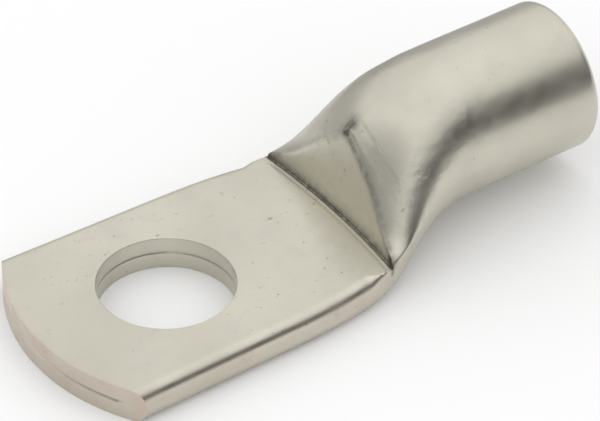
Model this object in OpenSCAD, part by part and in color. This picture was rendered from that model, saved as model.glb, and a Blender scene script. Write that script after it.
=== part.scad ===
// Cable lug pressed from one length of tinned copper tube.
// One end of the tube is flattened into a palm with a stud hole, the other end stays round to take the cable.
// Millimetres. Origin: axis of the stud hole on the palm's underside. +X runs to the barrel's mouth, +Z is up.

/* [Palm] */
// Width of the palm at its cut end
palm_w = 19.6; // [17:0.1:22]
// Inward lean of each long edge, in degrees
palm_taper = 1.4; // [0:0.1:2.5]
// Distance from the stud hole to the cut end
palm_end = 11.3; // [9.5:0.1:16]
// Radius of the cut end
end_r = 17; // [15:0.5:30]
// Distance from the stud hole to the two ends of the crease
palm_root = 14.75; // [13.5:0.05:20]
// Rounding along the folded long edges
edge_r = 1; // [0.5:0.05:1.1]
// Diameter of the stud hole
stud_d = 10.5; // [6.4:0.1:11]
// Width of the seam line where the two walls meet on the cut end
seam_w = 0.25; // [0.1:0.05:0.4]
// Depth of that seam line
seam_depth = 0.15; // [0.1:0.05:0.4]

/* [Tube] */
// Wall of the tube, which is half the palm's thickness
wall = 1.4; // [1.2:0.05:1.8]
// Outside diameter of the barrel
barrel_d = 11.8; // [10.5:0.1:14]
// Length of the round barrel
barrel_len = 11.25; // [8:0.25:30]
// Height of the barrel's underside above the palm's underside
barrel_lift = 1; // [0:0.1:2]
// Rounding of the mouth's outer edge
mouth_r = 0.6; // [0.2:0.05:0.8]
// Chamfer inside the mouth
mouth_chamfer = 0.3; // [0.1:0.05:0.5]

/* [Neck] */
// Length of the neck, from the crease to the round barrel
neck_len = 9.7; // [8:0.1:16]
// Width of the part across the crease
crease_w = 16.5; // [15.5:0.1:17.5]
// Rate at which each side closes in at the crease
crease_close = 0.25; // [0.1:0.01:0.4]
// Slope of the flat face that the die leaves behind the crease, in degrees
die_angle = 79; // [65:1:80]
// How far the middle of the crease bows towards the barrel
crease_bow = 0.45; // [0:0.05:0.8]
// Softness of the ridge round the die face
ridge_soft = 0.45; // [0.2:0.05:0.8]
// Fullness of the shoulders beside the die face, 2 is a round shoulder
shoulder = 0.96; // [0.8:0.02:1.4]

/* [Hidden] */
$fn = 96;
tinned = [0.78, 0.76, 0.70];
palm_t = 2 * wall;
barrel_r = barrel_d / 2;
bore_r = barrel_r - wall;
axis_z = barrel_lift + barrel_r;
crown_z = axis_z + barrel_r;
neck_x = palm_root + neck_len;
mouth_x = neck_x + barrel_len;
crease_mid = palm_root + crease_bow;
bow_half = 8;
// the palm is exact up to here and the neck's surface takes over
start_x = stud_d / 2 + 0.5;
// where each part of the neck begins and ends, as shares of its length from the crease
width_x0 = max(start_x, palm_root - 0.9 * neck_len);
crown_x0 = palm_root - 0.18 * neck_len;
crown_z0 = palm_t + 0.414 * (crown_z - palm_t);
crown_power = 1.685;
floor_x0 = palm_root + 0.08 * neck_len;
middle_x0 = palm_root - 0.42 * neck_len;
middle_power = 0.905;
upper_x0 = palm_root - 0.18 * neck_len;
upper_x1 = palm_root + 0.192 * neck_len;
lower_x0 = palm_root - 0.29 * neck_len;
lower_x1 = palm_root + 0.657 * neck_len;
shoulder_x0 = palm_root - 0.025 * neck_len;
shoulder_x1 = palm_root + 0.707 * neck_len;
// points round the outer skin and round the cavity, four times a whole number, closer together at the sides
ring_points = 72;
cavity_points = 40;
crowding = 0.5;
overlap = 0.4;
inset = 0.12;
// steps where a ring of points meets an exact edge, inside the palm's edge and proud of the round ones
palm_step = 0.03;
barrel_step = 0.03;
bore_step = 0.06;

// ---- curves along the neck ----
function clamp(u) = min(1, max(0, u));
function ease(u) = let (v = clamp(u)) v * v * (3 - 2 * v);
function share(x, a, b) = clamp((x - a) / (b - a));
function mix(a, b, k) = a * (1 - k) + b * k;

// cubic from (a, pa) with slope ma to (b, pb) with slope mb
function bridge(x, a, b, pa, pb, ma, mb) =
    let (u = share(x, a, b), v = u * u, c = v * u, d = b - a)
    (2 * c - 3 * v + 1) * pa + (c - 2 * v + u) * d * ma + (3 * v - 2 * c) * pb + (c - v) * d * mb;

function palm_half(x) = palm_w / 2 - tan(palm_taper) * (x + palm_end);

function half_width(x) =
    x < width_x0 ? palm_half(x)
    : x < palm_root ? bridge(x, width_x0, palm_root, palm_half(width_x0), crease_w / 2,
                             -tan(palm_taper), -crease_close)
    : bridge(x, palm_root, neck_x, crease_w / 2, barrel_r, -crease_close, 0);

function crown(x) = mix(crown_z0, crown_z, 1 - pow(1 - share(x, crown_x0, neck_x), crown_power));
function floor_z(x) = barrel_lift * ease(share(x, floor_x0, neck_x));
function middle(x) = mix(wall, axis_z, ease(pow(share(x, middle_x0, neck_x), middle_power)));
function fullness(x) = mix(shoulder, 2, ease(share(x, shoulder_x0, shoulder_x1)));

// ---- the die: flat at the palm's top, then a steep flat face behind the bowed crease ----
function behind(x, y) = x - palm_root - crease_bow * (1 - pow(y / bow_half, 2));
function die(x, y) = palm_t + tan(die_angle) * max(0, behind(x, y));

// lower of two heights, with the corner between them softened over k
function soft_low(a, b, k) = let (h = clamp(0.5 + 0.5 * (b - a) / k)) mix(b, a, h) - k * h * (1 - h);
function softness(x, y) = ridge_soft * min(1, max(0.02, 2 * behind(x, y)));

// ---- one point of the outer skin ----
// part of the way round a rectangle with rounded corners, q runs 0 at the side to 1 at the middle
function box_point(w, h, r, q) =
    let (side = h - r, arc = PI * r / 2, s = q * (side + arc + w - r), a = 90 * clamp((s - side) / arc))
    [w - r + r * cos(a) - max(0, s - side - arc), min(s, side) + r * sin(a)];

function skin_point(x, th) =
    let (up = th <= 180, c = cos(th), s = abs(sin(th)), q = (90 - abs(90 - (up ? th : th - 180))) / 90,
         w = half_width(x), m = middle(x),
         h = up ? max(palm_t - m, edge_r) : max(m - floor_z(x), edge_r),
         box = box_point(w, h, edge_r, q), side = c < 0 ? -1 : 1, way = up ? 1 : -1, n = up ? fullness(x) : 2,
         round_y = w * side * pow(abs(c), 2 / n),
         round_z = way * (up ? crown(x) - m : m - floor_z(x)) * pow(s, 2 / n),
         k = ease(up ? share(x, upper_x0, upper_x1) : share(x, lower_x0, lower_x1)),
         y = mix(side * box[0], round_y, k), z = m + mix(way * box[1], round_z, k))
    [x, y, up ? soft_low(z, die(x, y), softness(x, y)) : min(z, die(x, y))];

// ---- one point of the cavity inside the neck ----
function die_inside(x, y) = die(x, y) - wall / cos(die_angle);
function cavity_point(x, th) =
    let (up = th <= 180, c = cos(th), s = abs(sin(th)), n = up ? fullness(x) : 2,
         w = half_width(x) - wall, low = floor_z(x) + wall, top = crown(x) - wall,
         m = min(middle(x), (low + die_inside(x, 0)) / 2),
         y = w * (c < 0 ? -1 : 1) * pow(abs(c), 2 / n),
         z = up ? m + (top - m) * pow(s, 2 / n) : m - (m - low) * s)
    [x, y, min(z, die_inside(x, y))];

// ---- rings of points joined into a closed solid ----
function crowded(u) = 90 * u * (1 - crowding + crowding * u);
function angle_at(i, n) =
    let (quarter = floor(4 * i / n), u = 4 * i / n - quarter)
    90 * quarter + (quarter % 2 == 0 ? crowded(u) : 90 - crowded(1 - u));
function ring(x, n, inner) =
    [for (i = [0:n - 1]) let (th = angle_at(i, n)) inner ? cavity_point(x, th) : skin_point(x, th)];
// the same ring moved to x and drawn in by a step, h is its half height about cz
function drawn_in(pts, x, cz, h, by) =
    let (w = max([for (p = pts) p[1]]))
    [for (p = pts) [x, p[1] * (1 - by / w), cz + (p[2] - cz) * (1 - by / h)]];
function spread(a, b, n) = [for (i = [0:n - 1]) mix(a, b, i / n)];

module loft(rings) {
    n = len(rings[0]);
    m = len(rings);
    points = [for (r = rings) each r];
    sides = [for (j = [0:m - 2], i = [0:n - 1])
        let (a = j * n + i, b = j * n + (i + 1) % n, c = b + n, d = a + n, left = (i + 0.5) / n)
        each left < 0.25 || left > 0.75 ? [[a, c, b], [a, d, c]] : [[a, d, b], [b, d, c]]];
    polyhedron(points, concat([[for (i = [0:n - 1]) i]], sides, [[for (i = [n - 1:-1:0]) (m - 1) * n + i]]));
}

// x at which the die face runs out at the crown
function runout(x, n) = n == 0 ? x : runout(crease_mid + (crown(x) - palm_t) / tan(die_angle), n - 1);
apex_x = runout(crease_mid, 8);
first_x = start_x + overlap;
last_x = neck_x - overlap;
stations = concat(
    spread(first_x, upper_x0, 10),
    spread(upper_x0, palm_root - 0.1, 7),
    spread(palm_root - 0.1, apex_x + 0.25, 32),
    spread(apex_x + 0.25, shoulder_x1, 12),
    spread(shoulder_x1, last_x, 6),
    [last_x]);
// the cavity opens where the walls have parted by a tenth of a wall
slit_x = crease_mid + (floor_z(crease_mid) + 1.1 * wall - palm_t + wall / cos(die_angle)) / tan(die_angle);
cavity_x = concat(spread(slit_x, apex_x + wall, 10), spread(apex_x + wall, last_x, 12), [last_x]);

// ---- palm ----
// section across one folded edge, its outermost line at 0
module edge_section() {
    translate([-2 * palm_w, 0])
        square([2 * palm_w - edge_r, palm_t]);
    translate([-2 * palm_w, edge_r])
        square([2 * palm_w, palm_t - 2 * edge_r]);
    translate([-edge_r, edge_r])
        circle(edge_r);
    translate([-edge_r, palm_t - edge_r])
        circle(edge_r);
}

// slab bounded by one long edge of the palm
module edge_slab() {
    translate([-palm_end, palm_w / 2, 0])
        rotate([0, 0, -palm_taper])
            rotate([90, 0, 90])
                translate([0, 0, -overlap])
                    linear_extrude(palm_end + stud_d)
                        edge_section();
}

module palm() {
    color(tinned)
        intersection() {
            edge_slab();
            mirror([0, 1, 0])
                edge_slab();
            translate([end_r - palm_end, 0, -overlap])
                cylinder(r = end_r, h = palm_t + 2 * overlap, $fn = 240);
            translate([-palm_end - overlap, -palm_w, -overlap])
                cube([palm_end + overlap + start_x, 2 * palm_w, palm_t + 2 * overlap]);
        }
}

// ---- neck: the pressed transition from the flat palm to the round tube ----
module neck() {
    first = ring(start_x, ring_points, false);
    last = ring(neck_x, ring_points, false);
    color(tinned)
        loft(concat(
            [drawn_in(first, start_x - overlap, wall, wall, inset)],
            [drawn_in(first, start_x, wall, wall, palm_step)],
            [for (x = stations) ring(x, ring_points, false)],
            [drawn_in(last, neck_x, axis_z, barrel_r, -barrel_step)],
            [drawn_in(last, neck_x + overlap, axis_z, barrel_r, inset)]));
}

// ---- barrel ----
module along_barrel(x) {
    translate([x, 0, axis_z])
        rotate([0, 90, 0])
            children();
}

module barrel() {
    color(tinned)
        along_barrel(neck_x)
            rotate_extrude()
                union() {
                    square([barrel_r - mouth_r, barrel_len]);
                    square([barrel_r, barrel_len - mouth_r]);
                    translate([barrel_r - mouth_r, barrel_len - mouth_r])
                        circle(mouth_r);
                }
}

// ---- openings ----
module stud_hole() {
    translate([0, 0, -overlap])
        cylinder(d = stud_d, h = palm_t + 2 * overlap);
}

module socket() {
    along_barrel(neck_x)
        cylinder(r = bore_r, h = barrel_len + overlap);
    along_barrel(mouth_x - mouth_chamfer)
        cylinder(r1 = bore_r, r2 = bore_r + mouth_chamfer + overlap, h = mouth_chamfer + overlap);
}

module neck_cavity() {
    last = ring(neck_x, cavity_points, true);
    loft(concat(
        [for (x = cavity_x) ring(x, cavity_points, true)],
        [drawn_in(last, neck_x, axis_z, bore_r, -bore_step)],
        [drawn_in(last, neck_x + overlap, axis_z, bore_r, inset)]));
}

// the line where the two pressed walls meet, across the cut end
module end_seam() {
    reach = palm_w / 2 - 1.6;
    intersection() {
        translate([end_r - palm_end, 0, wall])
            rotate_extrude($fn = 240)
                polygon([[end_r - seam_depth, 0], [end_r + seam_w, seam_w / 2 + seam_w * seam_w / 2 / seam_depth],
                         [end_r + seam_w, -seam_w / 2 - seam_w * seam_w / 2 / seam_depth]]);
        translate([-palm_end - palm_w, -reach, 0])
            cube([palm_w + palm_end, 2 * reach, palm_t]);
    }
}

module lug() {
    difference() {
        union() {
            palm();
            neck();
            barrel();
        }
        stud_hole();
        socket();
        neck_cavity();
        end_seam();
    }
}

lug();
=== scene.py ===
"""Looks of a pressed copper cable lug: one dense skin over the CAD solid, satin tin plating, pale studio."""
import math

import bmesh
import bpy
import numpy as np
from mathutils import Matrix, Vector, noise


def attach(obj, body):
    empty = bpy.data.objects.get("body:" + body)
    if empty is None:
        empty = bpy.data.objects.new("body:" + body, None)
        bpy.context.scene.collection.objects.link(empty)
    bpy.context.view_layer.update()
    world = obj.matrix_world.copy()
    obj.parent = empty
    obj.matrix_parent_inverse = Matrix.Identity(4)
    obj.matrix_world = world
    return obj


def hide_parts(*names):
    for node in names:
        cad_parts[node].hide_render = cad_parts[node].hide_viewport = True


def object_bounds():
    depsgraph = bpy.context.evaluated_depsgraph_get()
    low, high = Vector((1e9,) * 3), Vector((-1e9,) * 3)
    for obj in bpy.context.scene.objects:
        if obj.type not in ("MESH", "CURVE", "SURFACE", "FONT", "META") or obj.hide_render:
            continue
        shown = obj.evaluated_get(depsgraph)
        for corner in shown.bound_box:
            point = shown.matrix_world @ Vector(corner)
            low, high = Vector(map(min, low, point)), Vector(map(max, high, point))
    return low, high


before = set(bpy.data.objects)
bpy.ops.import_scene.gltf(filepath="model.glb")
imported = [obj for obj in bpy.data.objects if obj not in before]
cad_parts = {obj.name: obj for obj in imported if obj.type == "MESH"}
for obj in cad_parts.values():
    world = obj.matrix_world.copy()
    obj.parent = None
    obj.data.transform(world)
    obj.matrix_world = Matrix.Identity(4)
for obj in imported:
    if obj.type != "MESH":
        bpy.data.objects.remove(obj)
cad_low, cad_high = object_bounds()
MM = 0.001
QUARTER_TURN = math.pi / 2

# ---------------------------------------------------------------- sizes in millimetres, as in part.scad
PALM_W = 19.6                           # width of the palm at its cut end
TAPER = math.tan(math.radians(1.4))     # inward lean of each long edge
PALM_END = 11.3                         # from the stud hole to the cut end
END_R = 17.0                            # radius of the cut end
ROOT = 14.75                            # from the stud hole to the two ends of the crease
EDGE_R = 1.0                            # rounding along the folded long edges
STUD_R = 5.25
WALL = 1.4                              # wall of the tube
BARREL_R = 5.9
BARREL_LEN = 11.25
LIFT = 1.0                              # height of the barrel's underside above the palm's
MOUTH_R = 0.6                           # rounding of the mouth's outer edge
MOUTH_CHAMFER = 0.3
NECK_LEN = 9.7
CREASE_HALF = 8.25                      # half the width of the part across the crease
CLOSE = 0.25                            # rate at which each side closes in at the crease
DIE = math.tan(math.radians(79))        # slope of the flat face that the die leaves
BOW = 0.45                              # how far the middle of the crease bows towards the barrel
BOW_HALF = 8                            # the bow is given for this half width
SOFT = 0.45                             # softness of the ridge round the die face
SHOULDER = 0.96                         # fullness of the shoulders, where 2 is a round one

T = 2 * WALL
BORE_R = BARREL_R - WALL
AXIS = LIFT + BARREL_R
CROWN = AXIS + BARREL_R
NECK_X = ROOT + NECK_LEN
MOUTH_X = NECK_X + BARREL_LEN


def at(part):
    """Distance along the lug of a share of the neck's length from the crease."""
    return ROOT + part * NECK_LEN


# where each part of the neck begins and ends, and how it rises
WIDTH_X0 = at(-0.9)
CROWN_X0 = at(-0.18)
CROWN_LOW = T + 0.414 * (CROWN - T)
CROWN_POWER = 1.685
FLOOR_X0 = at(0.08)
MIDDLE_X0 = at(-0.42)
MIDDLE_POWER = 0.905
UPPER_X0 = at(-0.18)
UPPER_X1 = at(0.192)
LOWER_X0 = at(-0.29)
LOWER_X1 = at(0.657)
SHOULDER_X0 = at(-0.025)
SHOULDER_X1 = at(0.707)


# ---------------------------------------------------------------- the skin's form, by the source's formulas
def ease(u):
    u = np.clip(u, 0, 1)
    return u * u * (3 - 2 * u)


def share(x, a, b):
    return np.clip((x - a) / (b - a), 0, 1)


def bridge(x, a, b, pa, pb, ma, mb):
    """Cubic from (a, pa) with slope ma to (b, pb) with slope mb."""
    u = share(x, a, b)
    d = b - a
    return ((2 * u ** 3 - 3 * u ** 2 + 1) * pa + (u ** 3 - 2 * u ** 2 + u) * d * ma
            + (3 * u ** 2 - 2 * u ** 3) * pb + (u ** 3 - u ** 2) * d * mb)


def palm_half(x):
    return PALM_W / 2 - TAPER * (x + PALM_END)


def half_width(x):
    before = bridge(x, WIDTH_X0, ROOT, palm_half(WIDTH_X0), CREASE_HALF, -TAPER, -CLOSE)
    past = bridge(x, ROOT, NECK_X, CREASE_HALF, BARREL_R, -CLOSE, 0.0)
    return np.where(x < WIDTH_X0, palm_half(x), np.where(x < ROOT, before, past))


def crown(x):
    return CROWN_LOW + (CROWN - CROWN_LOW) * (1 - (1 - share(x, CROWN_X0, NECK_X)) ** CROWN_POWER)


def floor_z(x):
    return LIFT * ease(share(x, FLOOR_X0, NECK_X))


def middle(x):
    return WALL + (AXIS - WALL) * ease(share(x, MIDDLE_X0, NECK_X) ** MIDDLE_POWER)


def fullness(x):
    return SHOULDER + (2 - SHOULDER) * ease(share(x, SHOULDER_X0, SHOULDER_X1))


def behind(x, y):
    return x - ROOT - BOW * (1 - (y / BOW_HALF) ** 2)


def die(x, y):
    return T + DIE * np.maximum(0, behind(x, y))


def soft_low(a, b, k):
    """Lower of two heights, with the corner between them softened over k."""
    h = np.clip(0.5 + 0.5 * (b - a) / k, 0, 1)
    return b * (1 - h) + a * h - k * h * (1 - h)


def box_point(w, h, r, q):
    """A quarter of a rectangle with rounded corners, q from 0 at the side to 1 at the middle."""
    side, arc = h - r, math.pi * r / 2
    s = q * (side + arc + w - r)
    a = np.clip((s - side) / arc, 0, 1) * math.pi / 2
    return w - r + r * np.cos(a) - np.maximum(0, s - side - arc), np.minimum(s, side) + r * np.sin(a)


def skin(x, q, left, up):
    """Width and height of points of the outer skin. x and q are arrays, left is +1 for the +Y side,
    and up is +1 for the upper half."""
    w, m, top = half_width(x), middle(x), up > 0
    h = np.maximum(np.where(top, T - m, m - floor_z(x)), EDGE_R)
    box_y, box_z = box_point(w, h, EDGE_R, q)
    n = np.where(top, fullness(x), 2.0)
    c = np.maximum(np.cos(q * math.pi / 2), 0)
    s = np.sin(q * math.pi / 2)
    round_y = w * c ** (2 / n)
    round_z = np.where(top, crown(x) - m, m - floor_z(x)) * s ** (2 / n)
    k = np.where(top, ease(share(x, UPPER_X0, UPPER_X1)), ease(share(x, LOWER_X0, LOWER_X1)))
    y = left * (box_y + (round_y - box_y) * k)
    z = m + up * (box_z + (round_z - box_z) * k)
    d = die(x, y)
    softness = SOFT * np.clip(2 * behind(x, y), 0.02, 1)
    return y, np.where(top, soft_low(z, d, softness), np.minimum(z, d))


# ---------------------------------------------------------------- a mesh gathered from grids of points
JOIN = 0.003      # points closer than this are one point
SLIVER = 0.0005   # edges shorter than this are taken out


class Skin:
    def __init__(self):
        self.points, self.faces, self.count = [], [], 0

    def grid(self, p, wrap=False, flip=False):
        """Adds a grid of points (rows, columns, 3) with a face between neighbours."""
        rows, columns = p.shape[:2]
        idx = np.arange(rows * columns).reshape(rows, columns) + self.count
        if wrap:
            idx = np.concatenate([idx, idx[:, :1]], 1)
        a, b, d, e = idx[:-1, :-1], idx[:-1, 1:], idx[1:, 1:], idx[1:, :-1]
        corners = [a, e, d, b] if flip else [a, b, d, e]
        self.points.append(p.reshape(-1, 3))
        self.faces.append(np.stack(corners, -1).reshape(-1, 4))
        self.count += rows * columns

    def finish(self, name):
        me = bpy.data.meshes.new(name)
        me.from_pydata((np.concatenate(self.points) * MM).tolist(), [], np.concatenate(self.faces).tolist())
        bm = bmesh.new()
        bm.from_mesh(me)
        bmesh.ops.remove_doubles(bm, verts=bm.verts, dist=JOIN * MM)
        bmesh.ops.dissolve_degenerate(bm, edges=bm.edges, dist=SLIVER * MM)
        bmesh.ops.recalc_face_normals(bm, faces=bm.faces)
        bm.to_mesh(me)
        bm.free()
        return me


# ---------------------------------------------------------------- rings round the neck
GRID_X = 9.4          # the palm's own mesh ends here and the rings of the neck begin
ARC = 10              # steps round each folded edge
FLAT = 34             # steps from there to the middle
EVEN_OVER = 2.6       # the points of the rings become evenly spread over this length
BEND_AFTER = 1.0      # the rings begin to follow the crease's bow this far past GRID_X
BEND_X, BEND_FADE = 16.8, 4.0           # and are straight again over this length past here
EDGE_SIDE = WALL - EDGE_R               # half of the straight part of a folded edge
# levels through the palm's thickness, close together at the edges and at the seam
UPPER_LEVELS = [0, 0.045, 0.09, 0.18, 0.35, 0.55, 0.75, 0.9, 0.965, 1.0]
LEVELS = np.array([-v for v in UPPER_LEVELS[:0:-1]] + UPPER_LEVELS)


def quarter_shares():
    """q of each ring point in a quarter at the palm, from the side to the middle."""
    whole = EDGE_SIDE + math.pi / 2 * EDGE_R + float(half_width(np.array(GRID_X))) - EDGE_R
    side = np.array(UPPER_LEVELS) * EDGE_SIDE
    arc = EDGE_SIDE + math.pi / 2 * EDGE_R * np.arange(1, ARC + 1) / ARC
    flat = arc[-1] + (whole - arc[-1]) * np.arange(1, FLAT + 1) / FLAT
    return np.concatenate([side, arc, flat]) / whole


def whole_ring(quarter):
    """A quarter's values carried round a ring that starts at the +Y side and goes over the top."""
    return np.concatenate([quarter, quarter[-2::-1], quarter[1:], quarter[-2:0:-1]])


def even_ring():
    return whole_ring(np.linspace(0, 1, len(quarter_shares())))


def ring_layout():
    """q, side and half of every point round a ring."""
    q = quarter_shares()
    n = len(q)
    left = np.concatenate([np.ones(n), -np.ones(n - 1), -np.ones(n - 1), np.ones(n - 2)])
    up = np.concatenate([np.ones(2 * n - 1), -np.ones(2 * n - 3)])
    return whole_ring(q), left, up


def rings(xs, layout):
    """Rings of the skin at the stations xs. The upper points follow the bow of the crease."""
    palm_q, left, up = layout
    even = even_ring()
    out = []
    for x in xs:
        q = palm_q + (even - palm_q) * ease((x - GRID_X) / EVEN_OVER)
        bent = ease((x - GRID_X - BEND_AFTER) / (ROOT - GRID_X - BEND_AFTER))
        bend = BOW * bent * (1 - ease((x - BEND_X) / BEND_FADE))
        ring_x = np.full(len(palm_q), float(x))
        y, _ = skin(ring_x, q, left, up)
        ring_x = ring_x + np.where(up > 0, bend * np.clip(1 - (y / BOW_HALF) ** 2, 0, 1), 0)
        y, z = skin(ring_x, q, left, up)
        out.append(np.stack([ring_x, y, z], 1))
    return np.array(out)


def spread(*runs):
    """Stations from (start, end, step) runs."""
    out = []
    for a, b, step in runs:
        out.append(np.linspace(a, b, max(2, int(round((b - a) / step)) + 1))[:-1])
    return np.concatenate(out + [[runs[-1][1]]])


# ---------------------------------------------------------------- palm
ALONG = 70              # steps along the palm
END_STEPS = 2 * FLAT    # steps across the cut end
SOLVE_STEPS = 6         # rounds that find a point on the palm's curved outline
RADIAL_ROWS, RADIAL_POWER = 26, 1.15    # rows between the hole and the outline, closer by the hole
HOLE_BEVEL = 0.07       # rounding of the stud hole's rims
HOLE_LEVELS = (2.45, 2.1, 1.8)          # heights of the rows down the hole's wall
# depth and height of the line where the two walls meet inside the stud hole
HOLE_SEAM = [(0.12, 0.0), (0.05, 0.03), (0.0, 0.06), (-0.05, 0.03), (-0.12, 0.0)]
SEAM_DEPTH, SEAM_HALF = 0.16, 0.13      # the same line across the cut end
SEAM_INSET, SEAM_FADE = 2.4, 0.9        # it fades out over this length, this far in from the palm's edge


def end_x(y):
    return END_R - PALM_END - np.sqrt(END_R ** 2 - y ** 2)


def palm_line(across, s):
    """Points along the palm at shares s of the way from the cut end to the neck's rings.
    across gives the distance in from the palm's own edge line, as an array beside s."""
    y = palm_half(0.0) - across
    for _ in range(SOLVE_STEPS):
        x0 = end_x(y)
        x = x0 + (GRID_X - x0) * s
        y = half_width(x) - across
    return x, y


def folded_edges(skin_mesh, s):
    """Both folded edges, from the top's flat round to the underside's."""
    upper = [(EDGE_R - EDGE_R * math.cos(t), WALL + EDGE_SIDE + EDGE_R * math.sin(t))
             for t in np.linspace(QUARTER_TURN, 0, ARC + 1)]
    side = [(0.0, WALL + EDGE_SIDE * v) for v in LEVELS[::-1][1:-1]]
    lower = [(d, T - z) for d, z in upper[::-1]]
    for sign in (1, -1):
        lines = []
        for d, z in upper + side + lower:
            x, y = palm_line(np.full(len(s), d), s)
            lines.append(np.stack([x, sign * y, np.full(len(s), z)], 1))
        skin_mesh.grid(np.stack(lines, 1), flip=sign > 0)


def flat_faces(skin_mesh, x_side, y_side, y_end):
    """The top, the hole's wall and the underside, as rings between the palm's outline and the hole."""
    y_neck = np.linspace(-y_side[-1], y_side[-1], 2 * FLAT + 1)
    outline = np.concatenate([
        np.stack([end_x(y_end), y_end], 1)[:-1],
        np.stack([x_side, -y_side], 1)[:-1],
        np.stack([np.full(2 * FLAT + 1, GRID_X), y_neck], 1)[:-1],
        np.stack([x_side, y_side], 1)[::-1][:-1]])
    angle = np.arctan2(outline[:, 1], outline[:, 0])
    circle = np.stack([np.cos(angle), np.sin(angle)], 1)
    outward = np.linspace(0, 1, RADIAL_ROWS) ** RADIAL_POWER
    top = [(outline * f + circle * (STUD_R + HOLE_BEVEL) * (1 - f), T) for f in outward[::-1]]
    rim = [(STUD_R + HOLE_BEVEL * (1 - math.sin(t)), T - HOLE_BEVEL * (1 - math.cos(t)))
           for t in np.linspace(0, QUARTER_TURN, 5)[1:]]
    upper_wall = rim + [(STUD_R, z) for z in HOLE_LEVELS]
    seam = [(STUD_R + d, WALL + dz) for dz, d in HOLE_SEAM]
    down = [(circle * r, z) for r, z in upper_wall + seam]
    under = [(circle * r, T - z) for r, z in upper_wall[::-1]]
    bottom = [(xy, 0.0) for xy, _ in top[::-1]]
    rows = [np.concatenate([xy, np.full((len(xy), 1), z)], 1) for xy, z in top + down + under + bottom]
    skin_mesh.grid(np.array(rows), wrap=True)


def cut_end(skin_mesh, y_end):
    """The cut end, with the seam of the two walls across it."""
    corner = []
    for t in np.linspace(0, QUARTER_TURN, ARC + 1):
        x, y = palm_line(np.array([EDGE_R - EDGE_R * math.cos(t)]), np.array([0.0]))
        corner.append((float(x[0]), float(y[0]), WALL - (EDGE_R - EDGE_R * math.sin(t))))
    columns = corner[:-1]
    columns += [(float(end_x(y)), float(y), WALL) for y in y_end]
    columns += [(x, -y, h) for x, y, h in corner[-2::-1]]
    out = []
    for x, y, h in columns:
        fade = 1 - ease((abs(y) - (PALM_W / 2 - SEAM_INSET)) / SEAM_FADE)
        dig = SEAM_DEPTH * fade * np.clip(1 - np.abs(LEVELS * h) / SEAM_HALF, 0, 1)
        out.append(np.stack([x + dig, np.full(len(LEVELS), y), WALL + h * LEVELS], 1))
    skin_mesh.grid(np.array(out), flip=True)


def palm(skin_mesh):
    s = np.linspace(0, 1, ALONG + 1)
    x_side, y_side = palm_line(np.full(len(s), EDGE_R), s)
    y_end = np.linspace(y_side[0], -y_side[0], END_STEPS + 1)
    folded_edges(skin_mesh, s)
    flat_faces(skin_mesh, x_side, y_side, y_end)
    cut_end(skin_mesh, y_end)


# ---------------------------------------------------------------- neck, barrel and bore
# (start, end, step) along the lug, closest together where the die bites
STATION_RUNS = [(GRID_X, 13.6, 0.2), (13.6, 14.5, 0.09), (14.5, 14.72, 0.03), (14.72, 14.84, 0.015),
                (14.84, 16.7, 0.031), (16.7, 18.0, 0.08), (18.0, NECK_X, 0.2),
                (NECK_X, MOUTH_X - MOUTH_R, 0.28)]
RIM_BREAK = 0.02        # the rim's inner corner is broken by this much
BORE_LEAD = 0.1         # a row this far inside the chamfer keeps its corner crisp
BORE_START = 0.8        # the bore's even rows begin this far inside the mouth
CAVITY_STEP_X = 18.2    # the cavity's rows are closer together towards the crease from here
SLIT_OPEN = 1.1         # the cavity ends where the walls have parted by a tenth of a wall
COS_DIE = math.cos(math.atan(DIE))


def mouth_and_bore(skin_mesh, last):
    """Rounded outer edge, flat rim, small chamfer and bore. last is the outer skin's last ring."""
    unit = (last[:, 1:] - [0, AXIS]) / BARREL_R
    rows = [(MOUTH_X - MOUTH_R + MOUTH_R * math.sin(t), BARREL_R - MOUTH_R * (1 - math.cos(t)))
            for t in np.linspace(0, QUARTER_TURN, 9)]
    rows += [(MOUTH_X, BORE_R + MOUTH_CHAMFER + RIM_BREAK),
             (MOUTH_X - RIM_BREAK, BORE_R + MOUTH_CHAMFER),
             (MOUTH_X - MOUTH_CHAMFER, BORE_R),
             (MOUTH_X - MOUTH_CHAMFER - BORE_LEAD, BORE_R)]
    rows += [(x, BORE_R) for x in np.linspace(MOUTH_X - BORE_START, NECK_X, 26)]
    body = [np.concatenate([np.full((len(unit), 1), x), unit * r + [0, AXIS]], 1) for x, r in rows]
    skin_mesh.grid(np.array(body), wrap=True, flip=True)
    return body[-1]


def cavity_ring(x, q, left, up):
    def inside(y):
        return die(x, y) - WALL / COS_DIE

    w = float(half_width(np.array(x))) - WALL
    low = float(floor_z(x)) + WALL
    top = float(crown(x)) - WALL
    m = min(float(middle(x)), (low + float(inside(0.0))) / 2)
    n = np.where(up > 0, float(fullness(x)), 2.0)
    c = np.maximum(np.cos(q * math.pi / 2), 0)
    s = np.sin(q * math.pi / 2)
    y = w * left * c ** (2 / n)
    z = np.where(up > 0, m + (top - m) * s ** (2 / n), m - (m - low) * s)
    return np.stack([np.full(len(y), x), y, np.minimum(z, inside(y))], 1)


def cavity(skin_mesh, first, left, up):
    """The cavity behind the bore, closing down to where the walls part. first is the bore's last ring."""
    slit = ROOT + BOW + (SLIT_OPEN * WALL - T + WALL / COS_DIE) / DIE
    wide = np.linspace(NECK_X, CAVITY_STEP_X, 26)[1:]
    narrow = np.linspace(CAVITY_STEP_X, slit, 18)[1:]
    xs = np.concatenate([wide, narrow])
    q = even_ring()
    inner = [cavity_ring(x, q, left, up) for x in xs]
    skin_mesh.grid(np.array([first] + inner), wrap=True, flip=True)
    end = inner[-1]
    skin_mesh.grid(np.array([end, np.tile(end.mean(0), (len(end), 1))]), wrap=True, flip=True)


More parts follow.
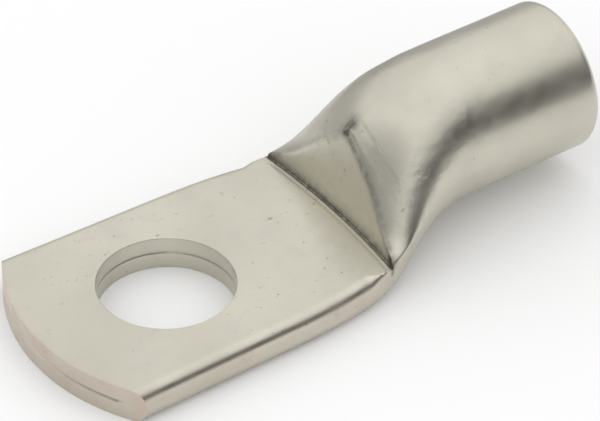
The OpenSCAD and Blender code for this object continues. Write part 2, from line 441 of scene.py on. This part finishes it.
def neck_and_barrel(skin_mesh):
    layout = ring_layout()
    ring = rings(spread(*STATION_RUNS), layout)
    skin_mesh.grid(ring, wrap=True, flip=True)
    bore_end = mouth_and_bore(skin_mesh, ring[-1])
    cavity(skin_mesh, bore_end, layout[1], layout[2])


# ---------------------------------------------------------------- small marks of making and use, and painted shade
APEX = (16.55, 0.3, 9.3)                # top of the die face
# one side of the ridge round the die face, from its foot up, for +Y
RIDGE = [(14.85, 8.0, 3.0), (15.4, 6.0, 4.8), (15.9, 3.6, 6.9)]
BLOTCH = (17.1, 0.4, 9.6)               # dark spot on the crown above the die face
SKIN_DIP = 0.012                        # the whole skin sinks unevenly by up to this much
HAMMER_SWING, HAMMER_SINK = 0.014, 0.01     # uneven height and sinking of the hammered shoulders
# marks along the crease, the last of them painted shade in the crease: strength, distance before the crease,
# and width
GROOVE = (0.035, 0.06, 0.07)
DIP = (0.02, 0.42, 0.12)
CREASE_SHADE = (0.75, 0.05, 0.16)
GROOVE_HALF, CREASE_SHADE_HALF = 8.0, 8.3       # half widths over which the groove and the painted shade run
NEAR_TOP = (0.6, 1.2)                   # the marks reach this far below and above the palm's top
FAR_AWAY = 9.0                          # stands for a distance at which nothing is marked
# a dark stain on the crown, painted shade along the near side of the ridge round the die face, and darkening
# along its far side: strength and width
BLOTCH_DIRT = (0.9, 0.8)
NEAR_RIDGE_SHADE = (0.55, 0.35)
FAR_RIDGE_DARKENING = (0.25, 0.35)
# copper: strength, and the distance over which it fades
CUT_COPPER = (0.8, 0.25)
RIM_COPPER = (0.6, 0.4)
EDGE_COPPER = (0.45, 0.5)


# noise: scale and seed
WIDE_NOISE = (3.2, 1)
FINE_NOISE = (0.9, 2)
SEED_STEP = (7.31, 3.17, 5.71)
# where the shoulders are hammered: start along X or Z, and the distance over which it fades in or out
HAMMER_FROM = (15.2, 1.5)
HAMMER_TO = (23.5, 3.0)
HAMMER_ABOVE = (3.0, 1.5)
# the bore's wall, which stays as it is, is this far inside the barrel's skin and past this X
BORE_DEPTH, BORE_FROM_X = 0.7, 17.5
# how far the copper reaches in from the rim and from the palm's edges, and the X that bounds each part
RIM_REACH, EDGE_REACH = 0.5, 0.6
CUT_BEFORE_X, EDGES_BEFORE_X = -7, 15


def near_line(p, line):
    """Distance from each point to a broken line of points."""
    best = np.full(len(p), 1e9)
    for a, b in zip(line[:-1], line[1:]):
        a, b = np.array(a, float), np.array(b, float)
        d = b - a
        t = np.clip(((p - a) @ d) / (d @ d), 0, 1)[:, None]
        best = np.minimum(best, np.linalg.norm(p - a - t * d, axis=1))
    return best


def value_noise(p, scale, seed):
    off = Vector([seed * step for step in SEED_STEP])
    return np.array([noise.noise(Vector(q) / scale + off) for q in p])


def bump_of(d, width):
    return np.exp(-(d / width) ** 2)


def fade_in(v, start, length):
    return ease((v - start) / length)


def along_crease(back, strength, before, width):
    return strength * bump_of(back + before, width)


def stain(distance, strength, width):
    return strength * bump_of(distance, width)


def read_vectors(me, name):
    values = np.empty(len(me.vertices) * 3)
    me.vertices.foreach_get(name, values)
    return values.reshape(-1, 3)


def crease_distance(x, y, z):
    """Distance behind the crease for points near the palm's top, and far away for all others."""
    return np.where((z > T - NEAR_TOP[0]) & (z < T + NEAR_TOP[1]), behind(x, y), FAR_AWAY)


def skin_moves(p, shoulder, outer):
    """How far each point moves along its normal, in millimetres."""
    x, y, z = p.T
    wide = value_noise(p, *WIDE_NOISE)
    fine = value_noise(p, *FINE_NOISE)
    back = crease_distance(x, y, z)
    move = -SKIN_DIP * (0.5 + 0.5 * wide) + shoulder * (HAMMER_SWING * fine - HAMMER_SINK)
    # a narrow groove where the die bit the crease, and a dip before it
    move = move - along_crease(back, *GROOVE) * (np.abs(y) < GROOVE_HALF) - along_crease(back, *DIP)
    move = np.where(outer > 0, move, 0.0)
    return np.where(np.hypot(x, y) < STUD_R + 0.1, 0.0, move)


def shade_and_stain_of(p):
    """Painted shade along the crease and the near side of the ridge round the die face, darkening along its
    far side, and a dark stain above its tip.
    """
    x, y, z = p.T
    ridge_far = RIDGE + [APEX]
    ridge_near = [(px, -py, pz) for px, py, pz in RIDGE] + [APEX]
    # painted shade: the crease is darkened where shade falls in it
    shade_and_stain = along_crease(crease_distance(x, y, z), *CREASE_SHADE) * (np.abs(y) < CREASE_SHADE_HALF)
    shade_and_stain += stain(np.linalg.norm(p - np.array(BLOTCH), axis=1), *BLOTCH_DIRT)
    # painted shade: the near side of the ridge is darkened where the metal mirrors the dark surround
    shade_and_stain += stain(near_line(p, ridge_near), *NEAR_RIDGE_SHADE)
    # darker along the far side of the ridge
    shade_and_stain += stain(near_line(p, ridge_far), *FAR_RIDGE_DARKENING)
    return shade_and_stain


def copper_of(p):
    """Where copper shows: the cut end, the mouth's rim and the palm's folded edges."""
    x, y, _ = p.T
    from_end = np.abs(np.hypot(x - (END_R - PALM_END), y) - END_R)
    by_rim = x - MOUTH_X + RIM_REACH
    by_edge = np.abs(y) - half_width(x) + EDGE_REACH
    copper = CUT_COPPER[0] * ease(1 - from_end / CUT_COPPER[1]) * (x < CUT_BEFORE_X)
    copper = copper + RIM_COPPER[0] * ease(by_rim / RIM_COPPER[1])
    return copper + EDGE_COPPER[0] * ease(by_edge / EDGE_COPPER[1]) * (x < EDGES_BEFORE_X)


def weather_and_shade(me):
    """Moves the skin by hundredths of a millimetre and stores where there is painted shade or a stain, where
    it is coppery and where it is hammered.
    """
    p = read_vectors(me, "co") / MM
    x, y, z = p.T
    in_bore = (np.hypot(y, z - AXIS) < BARREL_R - BORE_DEPTH) & (x > BORE_FROM_X)
    outer = np.where(in_bore, 0.0, 1.0)
    # the neck's near and far shoulders are hammered by the press
    shoulder = fade_in(x, *HAMMER_FROM) * (1 - fade_in(x, *HAMMER_TO)) * fade_in(z, *HAMMER_ABOVE) * outer
    moved = p + read_vectors(me, "normal") * skin_moves(p, shoulder, outer)[:, None]
    moved[:, 0] = np.clip(moved[:, 0], cad_low[0] / MM, cad_high[0] / MM)
    me.vertices.foreach_set("co", (moved * MM).reshape(-1))
    # the first attribute holds the painted shade along the crease and ridge, and a dark stain
    for name, v in (("shade_and_stain", shade_and_stain_of(p)), ("copper", copper_of(p)), ("hammered", shoulder)):
        att = me.attributes.new(name, "FLOAT", "POINT")
        att.data.foreach_set("value", np.clip(v, 0, 1).astype(np.float32))


# ---------------------------------------------------------------- materials
TIN_DARK = (0.59, 0.57, 0.485, 1)
TIN_LIGHT = (0.66, 0.635, 0.545, 1)
TIN_DULL = (0.52, 0.49, 0.44, 1)
BARE_COPPER = (0.60, 0.47, 0.40, 1)
PIT = (0.25, 0.23, 0.21, 1)
# dark colour of the painted shade along the crease and ridge, and of the stain
SHADE_AND_STAIN_COLOUR = (0.10, 0.09, 0.08, 1)
PAPER = (0.95, 0.95, 0.95, 1)


class Nodes:
    def __init__(self, name):
        self.mat = bpy.data.materials.new(name)
        self.mat.use_nodes = True
        self.tree = self.mat.node_tree
        self.tree.nodes.clear()

    def add(self, kind, **values):
        node = self.tree.nodes.new(kind)
        for key, v in values.items():
            if key in node.inputs:
                node.inputs[key].default_value = v
            else:
                setattr(node, key, v)
        return node

    def link(self, a, b):
        self.tree.links.new(a, b)

    def math(self, op, a, b, clamp=False):
        node = self.add("ShaderNodeMath", operation=op, use_clamp=clamp)
        for i, v in enumerate((a, b)):
            if isinstance(v, (int, float)):
                node.inputs[i].default_value = v
            else:
                self.link(v, node.inputs[i])
        return node.outputs[0]

    def ramp(self, fac, low, high, to_low=0.0, to_high=1.0):
        node = self.add("ShaderNodeMapRange")
        self.link(fac, node.inputs["Value"])
        node.inputs["From Min"].default_value = low
        node.inputs["From Max"].default_value = high
        node.inputs["To Min"].default_value = to_low
        node.inputs["To Max"].default_value = to_high
        return node.outputs["Result"]

    def mix(self, fac, a, b):
        node = self.add("ShaderNodeMix", data_type="RGBA")
        for sock, v in ((node.inputs["Factor"], fac), (node.inputs[6], a), (node.inputs[7], b)):
            if isinstance(v, (int, float, tuple)):
                sock.default_value = v
            else:
                self.link(v, sock)
        return node.outputs[2]


def tinned_copper():
    m = Nodes("tinned_copper")
    out = m.add("ShaderNodeOutputMaterial")
    bsdf = m.add("ShaderNodeBsdfPrincipled", Metallic=1.0)
    m.link(bsdf.outputs[0], out.inputs["Surface"])
    where = m.add("ShaderNodeTexCoord").outputs["Object"]

    def cloud(scale, detail=4.0, rough=0.55):
        n = m.add("ShaderNodeTexNoise", Scale=scale, Detail=detail, Roughness=rough)
        m.link(where, n.inputs["Vector"])
        return n.outputs["Fac"]

    def mask(name):
        return m.add("ShaderNodeAttribute", attribute_name=name).outputs["Fac"]

    broad, mid, fine, grain = cloud(120), cloud(480), cloud(1900, 3.0), cloud(6500, 2.0)
    # colour: two tones of tin, dull spots, copper at the cuts, pits, painted shade along the crease and
    # ridge, and a dark stain
    tone = m.mix(m.ramp(broad, 0.35, 0.65), TIN_DARK, TIN_LIGHT)
    tone = m.mix(m.ramp(mid, 0.45, 0.8, 0, 0.35), tone, TIN_DULL)
    copper = m.math("MULTIPLY", mask("copper"), m.ramp(mid, 0.3, 0.6, 0.3, 1.0), True)
    tone = m.mix(m.math("MULTIPLY", copper, 0.7), tone, BARE_COPPER)
    pits = m.ramp(fine, 0.66, 0.74, 0, 0.6)
    tone = m.mix(m.math("MULTIPLY", pits, m.ramp(broad, 0.45, 0.6, 0.2, 1.0)), tone, PIT)
    # painted shade along the crease and ridge, and a dark stain, darken the colour here
    shade_and_stain_amount = m.math("MULTIPLY", mask("shade_and_stain"), m.ramp(fine, 0.3, 0.6, 0.55, 1.1), True)
    tone = m.mix(shade_and_stain_amount, tone, SHADE_AND_STAIN_COLOUR)
    m.link(tone, bsdf.inputs["Base Color"])
    # gloss: a little uneven, and duller where shade is painted and where the stain is
    rough = m.ramp(mid, 0.3, 0.7, 0.30, 0.42)
    rough = m.math("ADD", rough, m.math("MULTIPLY", shade_and_stain_amount, 0.25))
    m.link(rough, bsdf.inputs["Roughness"])
    # relief: fine grain, with orange peel on the hammered shoulders
    height = m.math("ADD", m.math("MULTIPLY", fine, 0.5), m.math("MULTIPLY", grain, 0.22))
    peel = m.math("MULTIPLY", cloud(2600, 2.0), m.math("MULTIPLY", mask("hammered"), 1.6))
    height = m.math("ADD", height, peel)
    bump = m.add("ShaderNodeBump", Strength=0.35, Distance=0.00003)
    m.link(height, bump.inputs["Height"])
    m.link(bump.outputs[0], bsdf.inputs["Normal"])
    return m.mat


def pale_floor():
    m = Nodes("pale_floor")
    out = m.add("ShaderNodeOutputMaterial")
    lit = m.add("ShaderNodeBsdfDiffuse", Color=PAPER)
    m.link(lit.outputs[0], out.inputs["Surface"])
    return m.mat


def card_grey(name, grey):
    m = Nodes(name)
    out = m.add("ShaderNodeOutputMaterial")
    shine = m.add("ShaderNodeEmission", Color=(grey, grey, grey, 1), Strength=1.0)
    m.link(shine.outputs[0], out.inputs["Surface"])
    return m.mat


# ---------------------------------------------------------------- the studio, in metres
LAMP_AIM = (0.012, 0, 0.004)
LAMP_DISTANCE = 0.6
CARD_RADIUS = 0.7
CARD_HEIGHT = 0.006     # height that the mirrored floor is seen from, on average
CARD_STEPS = 24
ABOVE_FLOOR = 0.0001
FLOOR_DROP = 0.00002    # the floor lies this far under the palm, so that the two don't coincide


def direction(azimuth, elevation):
    """Unit vector towards a compass angle (0 is +X, 90 is +Y) and height."""
    a, e = math.radians(azimuth), math.radians(elevation)
    return Vector((math.cos(a) * math.cos(e), math.sin(a) * math.cos(e), math.sin(e)))


def soft_lamp(name, azimuth, elevation, size, watts):
    lamp = bpy.data.lights.new(name, "AREA")
    lamp.shape = "RECTANGLE"
    lamp.size, lamp.size_y = size
    lamp.energy = watts
    ob = bpy.data.objects.new(name, lamp)
    bpy.context.collection.objects.link(ob)
    spot = Vector(LAMP_AIM)
    ob.location = spot + direction(azimuth, elevation) * LAMP_DISTANCE
    ob.rotation_euler = (spot - ob.location).to_track_quat("-Z", "Y").to_euler()
    return ob


def card_profile(low, high):
    """Distance out and height of the card's lines, from its top edge down and then in over the floor."""
    top, foot = math.radians(high), math.radians(max(low, 0))
    profile = [(CARD_RADIUS * math.cos(top), CARD_RADIUS * math.sin(top)),
               (CARD_RADIUS * math.cos(foot), CARD_RADIUS * math.sin(foot) + ABOVE_FLOOR)]
    if low < 0:
        profile.append((CARD_HEIGHT / math.tan(math.radians(-low)), ABOVE_FLOOR))
    return profile


def card(name, azimuths, elevations, grey):
    """A grey card that stands round the set, and below the horizon lies on the floor.
    Only the metal mirrors it."""
    profile = card_profile(*elevations)
    n = len(profile)
    points, faces = [], []
    for i in range(CARD_STEPS + 1):
        a = math.radians(azimuths[0] + (azimuths[1] - azimuths[0]) * i / CARD_STEPS)
        points += [(r * math.cos(a), r * math.sin(a), z) for r, z in profile]
    for i in range(CARD_STEPS):
        for j in range(n - 1):
            faces.append((n * i + j, n * i + j + 1, n * (i + 1) + j + 1, n * (i + 1) + j))
    me = bpy.data.meshes.new(name)
    me.from_pydata(points, [], faces)
    ob = bpy.data.objects.new(name, me)
    bpy.context.collection.objects.link(ob)
    me.materials.append(card_grey(name, grey))
    ob.visible_camera = ob.visible_diffuse = ob.visible_shadow = ob.visible_transmission = False
    return ob


def studio():
    bpy.ops.mesh.primitive_plane_add(size=3.0, location=(0, 0, -FLOOR_DROP))
    floor = bpy.context.object
    floor.name = "floor"
    floor.data.materials.append(pale_floor())
    world = bpy.data.worlds.new("studio")
    bpy.context.scene.world = world
    world.use_nodes = True
    background = world.node_tree.nodes["Background"]
    background.inputs["Color"].default_value = (1, 1, 1, 1)
    background.inputs["Strength"].default_value = 1.0
    soft_lamp("overhead", azimuth=0, elevation=90, size=(0.8, 0.8), watts=0.3)
    card("card_front", azimuths=(-125, -15), elevations=(0, 37), grey=0.09)
    card("card_left", azimuths=(150, 215), elevations=(-6, 48), grey=0.4)
    card("card_back", azimuths=(30, 150), elevations=(-8, 14), grey=0.45)


# ---------------------------------------------------------------- the camera, fitted to the photograph
CAMERA_AZIMUTH = math.radians(-34.54)
CAMERA_ELEVATION = math.radians(38.805)
CAMERA_ROLL = math.radians(-0.18)
CAMERA_DISTANCE = 0.4                   # metres
CAMERA_AIM = (12.0, 0, 3.0)             # millimetres
CAMERA_SHIFT = (0.032, 0.901)           # millimetres right and up from the aim
SENSOR = 36.0
LENS = 320.196                          # millimetres, on that sensor


def camera():
    az, el, roll = CAMERA_AZIMUTH, CAMERA_ELEVATION, CAMERA_ROLL
    back = Vector((math.sin(az) * math.cos(el), -math.cos(az) * math.cos(el), math.sin(el)))
    right = Vector((0, 0, 1)).cross(back).normalized()
    up = back.cross(right)
    right, up = (right * math.cos(roll) + up * math.sin(roll)), (up * math.cos(roll) - right * math.sin(roll))
    target = Vector(CAMERA_AIM) * MM + right * CAMERA_SHIFT[0] * MM + up * CAMERA_SHIFT[1] * MM
    cam = bpy.data.cameras.new("camera")
    cam.sensor_width = SENSOR
    cam.lens = LENS
    cam.clip_start, cam.clip_end = 0.01, 20.0
    ob = bpy.data.objects.new("camera", cam)
    bpy.context.collection.objects.link(ob)
    turn = Matrix((right, up, back)).transposed().to_4x4()
    ob.matrix_world = Matrix.Translation(target + back * CAMERA_DISTANCE) @ turn
    bpy.context.scene.camera = ob


# ---------------------------------------------------------------- the lug
SHARP_ANGLE = math.radians(42)


def lug():
    gathered = Skin()
    palm(gathered)
    neck_and_barrel(gathered)
    me = gathered.finish("lug_skin")
    me.shade_smooth()
    weather_and_shade(me)
    me.set_sharp_from_angle(angle=SHARP_ANGLE)
    ob = bpy.data.objects.new("lug_skin", me)
    bpy.context.collection.objects.link(ob)
    me.materials.append(tinned_copper())
    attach(ob, "root")
    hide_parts("lug")
    return ob


lug()
studio()
camera()
bpy.context.scene.view_settings.view_transform = "Standard"
